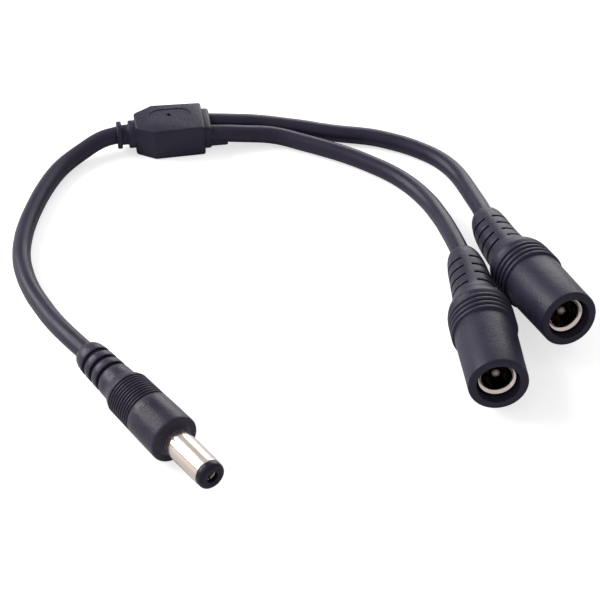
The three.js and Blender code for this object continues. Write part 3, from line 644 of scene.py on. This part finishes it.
def plastic(name, colour, grain, roughness, depth, rub_and_highlight=0.4, lift=1.45):
    """Matte plastic: sandy grain, soft patches, and edges painted paler, as light rubbing where the
    amount is small and as a painted highlight where it is large.
    """
    material, tree, shader, where = new_material(name)
    skin = placed_group(tree, "Moulded grain", Vector=where, Scale=1.0 / grain)
    edges = placed_group(tree, "Rubbed edges and painted highlights", Vector=where, Amount=rub_and_highlight)
    pale = tuple(min(1, c * lift) for c in colour)
    factor = maths(tree, "ADD", maths(tree, "MULTIPLY", skin.outputs["Patches"], 0.45),
                   maths(tree, "MULTIPLY", skin.outputs["Specks"], 0.35))
    # The edge mask pales the edges: light rubbing, and on the plug's crests a painted highlight.
    factor = maths(tree, "ADD", factor, edges.outputs["Mask"])
    wire(tree, mixed(tree, factor, colour, pale), shader.inputs["Base Color"])
    rough = ranged(tree, skin.outputs["Patches"], 0, 1, roughness - 0.04, roughness + 0.05)
    wire(tree, rough, shader.inputs["Roughness"])
    shader.inputs["Specular IOR Level"].default_value = PVC_SPECULAR
    bumped(tree, shader, skin.outputs["Height"], GRAIN_STRENGTH, depth)
    return material


def plated(name, colour, tarnish, roughness, place=None, along=True):
    """Bright plate with fine lines along or round the piece's own axis; the pins' and tip contact's
    tones are darkened instead, as painted shade.
    """
    material, tree, shader, where = new_material(name)
    turn = tree.nodes.new("ShaderNodeMapping")
    if place:
        matrix = place_matrix(place).inverted()
        turn.inputs["Rotation"].default_value = matrix.to_euler("XYZ")
        turn.inputs["Location"].default_value = matrix.to_translation()
    wire(tree, where, turn.inputs["Vector"])
    stretch = tree.nodes.new("ShaderNodeMapping")
    stretch.inputs["Scale"].default_value = (0.06, 1, 1) if along else (1, 0.04, 0.04)
    wire(tree, turn.outputs["Vector"], stretch.inputs["Vector"])
    lines = placed_group(tree, "Drawn metal", Vector=stretch.outputs["Vector"], Scale=DRAWN_LINES)
    wire(tree, mixed(tree, lines.outputs["Tarnish"], colour, tarnish), shader.inputs["Base Color"])
    shader.inputs["Metallic"].default_value = 1.0
    rough = ranged(tree, lines.outputs["Height"], 0.3, 0.7, roughness - 0.05, roughness + 0.06)
    wire(tree, rough, shader.inputs["Roughness"])
    bumped(tree, shader, lines.outputs["Height"], 0.04, 1e-5)
    return material


def make_materials(scene):
    mould, metal, cord = scene.splitter_mould, scene.splitter_metal, scene.splitter_cord
    grain = mould.grain
    grain_group()
    rub_and_highlight_group()
    drawn_group()
    plug_tone = tuple(c * f for c, f in zip(mould.colour, (1.1, 1.05, 0.95)))
    brown = tuple(c * f for c, f in zip(metal.nickel, (0.88, 0.8, 0.72)))
    brass_dark = tuple(c * 0.7 for c in metal.brass)
    return {
        "black_pvc": plastic("Moulded black", mould.colour, grain, 0.38, GRAIN_DEPTH),
        # The plug's edges and rib crests are painted much paler: a painted highlight.
        "plug_pvc_painted_highlight": plastic("Plug black with painted highlights", plug_tone, grain, 0.32, GRAIN_DEPTH, 0.9, 2.0),
        "cord_pvc": plastic("Cable jacket", cord.colour, grain * 1.4, 0.36, 1.2e-5, 0.15),
        "black_plastic": plastic("Tip black", TIP_BLACK, grain, 0.3, 6e-6, 0.2),
        "black_core": plastic("Core black", CORE_BLACK, grain, 0.45, 1e-5, 0.1),
        "red_pvc": plastic("Core red", CORE_RED, grain, 0.45, 1e-5, 0.1, 1.2),
        "plug_nickel": plated("Plug nickel", metal.nickel, brown, 0.18, PLUG_PLACE),
        "front_nickel": plated("Front sleeve", metal.nickel, brown, 0.14, FRONT_PLACE, False),
        "rear_nickel": plated("Rear sleeve", metal.nickel, brown, 0.14, REAR_PLACE, False),
        # The pins' dark tones are painted shade.
        "front_pin": plated("Front pin", *PIN_PAINTED_SHADE_TONES, 0.17, FRONT_PLACE),
        "rear_pin": plated("Rear pin", *PIN_PAINTED_SHADE_TONES, 0.17, REAR_PLACE),
        "brass": plated("Contact brass", metal.brass, brass_dark, 0.3, PLUG_PLACE),
        # The contact's dark tones are painted shade.
        "contact": plated("Contact with painted shade", *CONTACT_PAINTED_SHADE_TONES, 0.2, PLUG_PLACE),
        "solder": plated("Dull solder", *SOLDER_TONES, 0.42),
    }


# Cords


def cord_curve(name, route, diameter):
    """A round cord through its route, running on a little into the mouldings at both ends."""
    points = [Vector(p) for p in route]
    first = points[0] - (points[1] - points[0]).normalized() * CORD_TUCK
    last = points[-1] + (points[-1] - points[-2]).normalized() * CORD_TUCK
    points = [first, *points, last]
    curve = bpy.data.curves.new(name, "CURVE")
    curve.dimensions = "3D"
    spline = curve.splines.new("BEZIER")
    spline.bezier_points.add(len(points) - 1)
    for knot, point in zip(spline.bezier_points, points):
        knot.co = point
        knot.handle_left_type = knot.handle_right_type = "AUTO"
    spline.resolution_u = 6
    curve.bevel_depth = diameter / 2
    curve.bevel_resolution = 7
    curve.use_fill_caps = True
    obj = bpy.data.objects.new(name, curve)
    bpy.context.scene.collection.objects.link(obj)
    return obj


# Plug


def plug_section():
    points = list(PLUG_GRIP)
    crest, station = PLUG_GRIP[-1][1], PLUG_GRIP[-1][0]
    for _ in range(PLUG_RIBS):
        for share, drop in PLUG_RIB_PROFILE:
            points.append((station - share * PLUG_RIB_PITCH, crest - drop))
        station -= PLUG_RIB_PITCH
        crest -= PLUG_RIB_FALL
    points += PLUG_SHOULDER
    for middle in PLUG_GROOVES:
        near, far = middle + PLUG_GROOVE_WIDTH / 2, middle - PLUG_GROOVE_WIDTH / 2
        skin = PLUG_TAIL_R - PLUG_TAIL_TAPER * (PLUG_TAIL_START - middle)
        points += [
            (near + 0.12, skin), (near + 0.03, skin - 0.04), (near, skin - 0.16),
            (near - 0.04, PLUG_GROOVE_R + 0.1), (near - 0.16, PLUG_GROOVE_R),
            (far + 0.16, PLUG_GROOVE_R), (far + 0.04, PLUG_GROOVE_R + 0.1),
            (far, skin - 0.2), (far - 0.03, skin - 0.08), (far - 0.12, skin - 0.04),
        ]
    points += PLUG_TAIL
    hole = PLUG_CABLE_R + CABLE_CLEARANCE
    points += [(PLUG_REAR, hole), (CAVITY_START, hole), (CAVITY_START, PLUG_GRIP[0][1])]
    return points


# Sockets


def tail_radius(station):
    for (a, ra), (b, rb) in zip(SOCKET_TAIL, SOCKET_TAIL[1:]):
        if station >= b:
            return ra + (rb - ra) * (a - station) / (a - b)
    return SOCKET_TAIL[-1][1]


def socket_section():
    low, high = SOCKET_RIB_R
    points = list(SOCKET_BODY)
    for i in range(SOCKET_RIBS):
        start = SOCKET_RIB_START - i * SOCKET_RIB_PITCH
        for share, height in SOCKET_RIB_PROFILE:
            points.append((start - share * SOCKET_RIB_PITCH, low + height * (high - low)))
    points += SOCKET_SHOULDER
    for middle in SOCKET_SLOTS:
        near, far = middle + SOCKET_SLOT_WIDTH / 2, middle - SOCKET_SLOT_WIDTH / 2
        for station in (near + SLOT_EDGE, near, far, far - SLOT_EDGE):
            if station < points[-1][0] - 0.05:
                points.append((station, tail_radius(station)))
    points += SOCKET_TAIL_END
    hole = PLUG_CABLE_R + CABLE_CLEARANCE
    points += [(SOCKET_REAR, hole), (CAVITY_START, hole), *SOCKET_HOLLOW]
    return points


def cut_slots(obj):
    """Presses the slots into the tail, two to a row, and leaves a plain spine above and below."""
    only(obj)
    bpy.ops.object.mode_set(mode="EDIT")
    half = SOCKET_SLOT_WIDTH / 2
    for middle in SOCKET_SLOTS:
        for side in (1, -1):
            mesh = bmesh.from_edit_mesh(obj.data)
            bpy.ops.mesh.select_all(action="DESELECT")
            for face in mesh.faces:
                x, y, z = face.calc_center_median() / MM
                angle = math.degrees(math.atan2(abs(y), z))
                outside = math.hypot(y, z) > SOCKET_TAIL_INNER_R
                inside_row = middle - half < x < middle + half
                if outside and inside_row and y * side > 0:
                    if SPINE_HALF_ANGLE < angle < 180 - SPINE_HALF_ANGLE:
                        face.select_set(True)
            bmesh.update_edit_mesh(obj.data)
            bpy.ops.mesh.extrude_region()
            factor = SOCKET_SLOT_R / tail_radius(middle)
            bpy.ops.transform.resize(value=(1, factor, factor), center_override=(0, 0, 0))
    bpy.ops.object.mode_set(mode="OBJECT")


# Junction


def race_track(centre, length, width, count=14):
    points = []
    run = (length - width) / 2
    for side in (1, -1):
        for i in range(count + 1):
            angle = math.pi * i / count - math.pi / 2
            x = side * (run + width / 2 * math.cos(angle))
            y = side * width / 2 * math.sin(angle)
            points.append((centre[0] + x, centre[1] + y))
    return points


def block(name, start, end, half_width, low, high, edge):
    corners = [(start, -half_width), (end, -half_width), (end, half_width), (start, half_width)]
    return bar(name, corners, high - low, low, edge)


def moved(obj, *offset):
    obj.data.transform(Matrix.Translation(Vector(offset) * MM))
    return obj


# Operators


class SPLITTER_OT_camera(bpy.types.Operator):
    """Adds the camera that looks down at the lead from the front"""

    bl_idname = "splitter.camera"
    bl_label = "Camera"

    def execute(self, context):
        deselect_all()
        turn = (Vector(CAMERA_AIM) - Vector(CAMERA_SPOT)).to_track_quat("-Z", "Y").to_euler()
        bpy.ops.object.camera_add(location=CAMERA_SPOT, rotation=turn)
        camera = context.object
        camera.name = "view_camera"
        camera.data.lens = context.scene.splitter_stage.lens
        camera.data.sensor_width = 36.0
        camera.data.clip_start = 0.01
        context.scene.camera = camera
        return {"FINISHED"}


class SPLITTER_OT_cords(bpy.types.Operator):
    """Lays the trunk cord and both branch cords"""

    bl_idname = "splitter.cords"
    bl_label = "Cords"

    def execute(self, context):
        diameter = context.scene.splitter_cord.diameter
        for name, route in (
            ("trunk_cord", TRUNK_ROUTE),
            ("front_branch_cord", FRONT_ROUTE),
            ("rear_branch_cord", REAR_ROUTE),
        ):
            cord = cord_curve(name + "_jacket", route, diameter)
            finished(cord, MATERIALS["cord_pvc"], "cord_pvc", name)
        return {"FINISHED"}


class SPLITTER_OT_plug(bpy.types.Operator):
    """Makes the plug's moulding, barrel, tip ring and centre contact"""

    bl_idname = "splitter.plug"
    bl_label = "Plug"

    def execute(self, context):
        steps = context.scene.splitter_mould.steps
        grip = smooth(turned("plug_grip", plug_section(), steps), 40)
        finished(laid(grip, PLUG_PLACE), MATERIALS["plug_pvc_painted_highlight"], "black_pvc", "plug_moulding")
        barrel = smooth(turned("plug_barrel_tube", BARREL_SECTION, 128), 40)
        finished(laid(barrel, PLUG_PLACE), MATERIALS["plug_nickel"], "nickel", "plug_barrel")
        tip = smooth(turned("plug_tip_ring", TIP_SECTION, steps), 40)
        finished(
            laid(tip, PLUG_PLACE), MATERIALS["black_plastic"], "black_plastic",
            "plug_tip_insulator",
        )
        contact = turned("plug_contact_tube", CONTACT_SECTION, 64)
        for name, across, up in (
            ("slit_level", SLIT_HALF_WIDTH, SLIT_REACH),
            ("slit_upright", SLIT_REACH, SLIT_HALF_WIDTH),
        ):
            points = [(-SLIT_LENGTH, -across), (0, -across), (0, across), (-SLIT_LENGTH, across)]
            slit = bar(name, points, 2 * up, -up, 0)
            combined(contact, slit, "DIFFERENCE")
        smooth(contact, 40)
        finished(laid(contact, PLUG_PLACE), MATERIALS["contact"], "brass", "plug_centre_contact")
        return {"FINISHED"}


class SPLITTER_OT_sockets(bpy.types.Operator):
    """Makes both sockets, with their sleeves, bases and pins"""

    bl_idname = "splitter.sockets"
    bl_label = "Sockets"

    def execute(self, context):
        steps = context.scene.splitter_mould.steps
        for name, place, nickel, pin in (
            ("front_socket", FRONT_PLACE, "front_nickel", "front_pin"),
            ("rear_socket", REAR_PLACE, "rear_nickel", "rear_pin"),
        ):
            grip = turned(name + "_grip", socket_section(), steps)
            cut_slots(grip)
            bent_tail(grip, place)
            rounded(grip, 0.05, 2, 50)
            smooth(grip, 40)
            finished(laid(grip, place), MATERIALS["black_pvc"], "black_pvc", name + "_moulding")
            for piece, section, finish, slot_name, node in (
                ("ring", SLEEVE_SECTION, nickel, "nickel", "_sleeve"),
                ("base", BASE_SECTION, "black_plastic", "black_plastic", "_insulating_base"),
                ("pin", PIN_SECTION, pin, "nickel", "_centre_pin"),
            ):
                part = smooth(turned(f"{name}_{piece}", section, 80), 40)
                finished(laid(part, place), MATERIALS[finish], slot_name, name + node)
        return {"FINISHED"}


class SPLITTER_OT_junction(bpy.types.Operator):
    """Makes the moulded junction with its collars, cradle and gate mark"""

    bl_idname = "splitter.junction"
    bl_label = "Junction"

    def execute(self, context):
        steps = context.scene.splitter_mould.steps
        body = bar("junction_block", BODY_OUTLINE, 2 * HALF_HEIGHT, 0, BODY_EDGE)
        neck = turned("junction_neck", NECK_SECTION, steps)
        combined(body, moved(neck, 0, 0, HALF_HEIGHT), "UNION")
        combined(body, block("collar", **COLLAR), "UNION")
        combined(body, block("cradle", **CRADLE), "UNION")
        for side in (1, -1):
            lane = turned("lane", LANE_SECTION, 48)
            combined(body, moved(lane, 0, side * LANE_OFFSET, HALF_HEIGHT), "DIFFERENCE")
        recess = bar("recess", race_track(**RECESS), 1, RECESS_FLOOR, 0)
        combined(body, recess, "DIFFERENCE")
        gate = bar("gate", race_track(**GATE), 2, GATE_FLOOR, 0)
        combined(body, gate, "DIFFERENCE")
        recalculated(body)
        smooth(body, 35)
        finished(body, MATERIALS["black_pvc"], "black_pvc", "junction_moulding")
        return {"FINISHED"}


class SPLITTER_OT_inner_parts(bpy.types.Operator):
    """Gives the cores, solder joints and tags inside the mouldings their finishes"""

    bl_idname = "splitter.inner_parts"
    bl_label = "Inner parts"

    def execute(self, context):
        slots = {part["node"]: part["material_slot"] for part in FRAME["record"]["subparts"]}
        inner = [*PLUG_INNER, *JUNCTION_INNER]
        for name in ("front_socket", "rear_socket"):
            inner += [f"{name}_{part}" for part in SOCKET_INNER]
        for node in inner:
            obj = FRAME["nodes"][node]
            for slot in obj.material_slots:
                slot.material = MATERIALS[slots[node]]
        return {"FINISHED"}


class SPLITTER_OT_declare(bpy.types.Operator):
    """Gathers the names of each socket's pieces and does nothing more with them"""

    bl_idname = "splitter.declare"
    bl_label = "Declare cords"

    def execute(self, context):
        for name, route, y in (
            ("front", FRONT_ROUTE, -0.0023),
            ("rear", REAR_ROUTE, 0.0023),
        ):
            pieces = [f"{name}_socket_{part}" for part in ("grip", "ring", "base", "pin")]
            pieces += [f"{name}_socket_{part}" for part in SOCKET_INNER]
        return {"FINISHED"}


class SPLITTER_OT_stage(bpy.types.Operator):
    """Adds the pale floor, the surroundings and the lamps"""

    bl_idname = "splitter.stage"
    bl_label = "Stage"

    def execute(self, context):
        settings = context.scene.splitter_stage
        deselect_all()
        bpy.ops.mesh.primitive_plane_add(size=FLOOR_SIZE, location=(0, 0, -0.00002))
        floor = context.object
        floor.name = "floor"
        material, tree, shader, where = new_material("Pale floor")
        shader.inputs["Base Color"].default_value = (0.86, 0.86, 0.86, 1)
        shader.inputs["Roughness"].default_value = 0.7
        shader.inputs["Specular IOR Level"].default_value = 0.2
        shader.inputs["Emission Color"].default_value = (1, 1, 1, 1)
        path = tree.nodes.new("ShaderNodeLightPath")
        glow = maths(tree, "MULTIPLY", path.outputs["Is Camera Ray"], FLOOR_GLOW)
        wire(tree, glow, shader.inputs["Emission Strength"])
        floor.data.materials.append(material)

        world = context.scene.world or bpy.data.worlds.new("surroundings")
        context.scene.world = world
        world.use_nodes = True
        nodes = world.node_tree.nodes
        back = nodes["Background"]
        back.inputs["Color"].default_value = (1, 1, 1, 1)
        path = nodes.new("ShaderNodeLightPath")
        glossy = maths(
            world.node_tree, "MULTIPLY", path.outputs["Is Glossy Ray"], GLOSSY_SHARE,
        )
        seen = maths(world.node_tree, "MAXIMUM", path.outputs["Is Camera Ray"], glossy)
        level = ranged(world.node_tree, seen, 0, 1, settings.sky, 1.0)
        wire(world.node_tree, level, back.inputs["Strength"])

        for name, power, size, spot, aim in (
            ("key_lamp", settings.key, KEY_SIZE, KEY_SPOT, LAMP_AIM),
            ("rim_lamp", settings.rim, RIM_SIZE, RIM_SPOT, RIM_AIM),
        ):
            turn = (Vector(aim) - Vector(spot)).to_track_quat("-Z", "Y").to_euler()
            bpy.ops.object.light_add(type="AREA", location=spot, rotation=turn)
            lamp = context.object
            lamp.name = name
            lamp.data.size = size
            lamp.data.energy = power
        turn = (Vector(FLAG_AIM) - Vector(FLAG_SPOT)).to_track_quat("Z", "Y").to_euler()
        bpy.ops.mesh.primitive_plane_add(size=FLAG_SIZE, location=FLAG_SPOT, rotation=turn)
        flag = context.object
        flag.name = "dark_flag"
        flag.visible_camera = flag.visible_diffuse = flag.visible_shadow = False
        material, tree, shader, where = new_material("Black card")
        shader.inputs["Base Color"].default_value = (0.01, 0.01, 0.01, 1)
        shader.inputs["Roughness"].default_value = 0.9
        flag.data.materials.append(material)
        context.scene.view_settings.view_transform = "Standard"
        return {"FINISHED"}


class SPLITTER_PT_panel(bpy.types.Panel):
    """Lists the steps that build the lead"""

    bl_idname = "SPLITTER_PT_panel"
    bl_label = "Power cord splitter"
    bl_space_type = "VIEW_3D"
    bl_region_type = "UI"
    bl_category = "Splitter"

    def draw(self, context):
        layout = self.layout
        for group in ("splitter_cord", "splitter_mould", "splitter_metal", "splitter_stage"):
            settings = getattr(context.scene, group)
            box = layout.box()
            for key in settings.__annotations__:
                box.prop(settings, key)
        for operator in STEPS:
            layout.operator(operator.bl_idname)


GROUPS = {
    "splitter_cord": SplitterCordSettings,
    "splitter_mould": SplitterMouldSettings,
    "splitter_metal": SplitterMetalSettings,
    "splitter_stage": SplitterStageSettings,
}
STEPS = (
    SPLITTER_OT_camera,
    SPLITTER_OT_cords,
    SPLITTER_OT_plug,
    SPLITTER_OT_sockets,
    SPLITTER_OT_junction,
    SPLITTER_OT_inner_parts,
    SPLITTER_OT_declare,
    SPLITTER_OT_stage,
)


def register():
    for name, group in GROUPS.items():
        bpy.utils.register_class(group)
        setattr(bpy.types.Scene, name, PointerProperty(type=group))
    for step in STEPS:
        bpy.utils.register_class(step)
    bpy.utils.register_class(SPLITTER_PT_panel)


def unregister():
    bpy.utils.unregister_class(SPLITTER_PT_panel)
    for step in reversed(STEPS):
        bpy.utils.unregister_class(step)
    for name, group in GROUPS.items():
        delattr(bpy.types.Scene, name)
        bpy.utils.unregister_class(group)


def main():
    register()
    MATERIALS.update(make_materials(bpy.context.scene))
    bpy.ops.splitter.camera()
    bpy.ops.splitter.cords()
    bpy.ops.splitter.plug()
    bpy.ops.splitter.sockets()
    bpy.ops.splitter.junction()
    bpy.ops.splitter.inner_parts()
    bpy.ops.splitter.declare()
    bpy.ops.splitter.stage()


if __name__ == "__main__":
    main()
